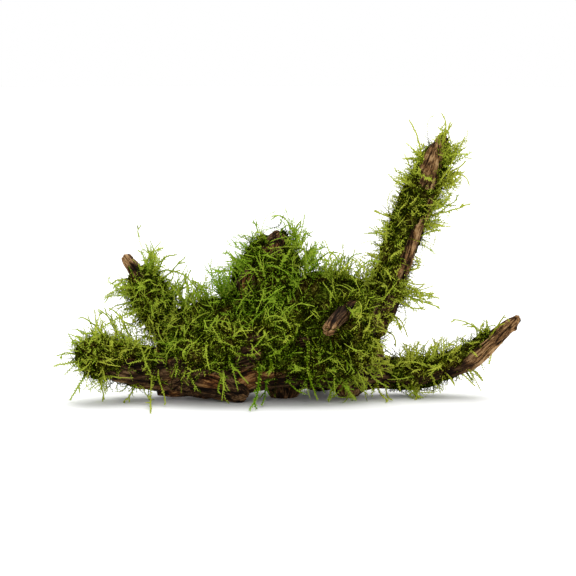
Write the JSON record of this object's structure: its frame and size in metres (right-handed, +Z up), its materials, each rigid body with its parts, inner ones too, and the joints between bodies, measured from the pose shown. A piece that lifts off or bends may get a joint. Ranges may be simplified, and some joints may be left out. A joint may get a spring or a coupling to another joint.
{
  "type": "java moss on driftwood",
  "caption": "Branching piece of driftwood overgrown with tufted java moss, an aquarium plant that rests on the worn flat underside of its trunk.",
  "frame": {"origin": "on the flat worn patch under the middle of the trunk, level with the surface that the wood stands on", "axes": "+Z up, away from that surface; +X along the length of the wood, towards the end with the tall branch and the long low arm; -Y towards the side with the short stub"},
  "size_m": [0.2047, 0.08, 0.122],
  "materials": {
    "driftwood": "dry weathered bark, dark brown with lighter orange-brown grain",
    "moss": "living moss, small overlapping leaves, matt"
  },
  "bodies": {
    "root": {"driftwood_trunk": "driftwood", "driftwood_left_arm": "driftwood", "driftwood_left_branch": "driftwood", "driftwood_centre_stump": "driftwood", "driftwood_tall_branch": "driftwood", "driftwood_right_arm": "driftwood", "driftwood_front_stub": "driftwood", "moss_on_trunk": "moss", "moss_on_centre_stump": "moss", "moss_on_left_arm": "moss", "moss_on_left_branch": "moss", "moss_on_tall_branch": "moss", "moss_on_right_arm": "moss"}
  },
  "joints": []
}
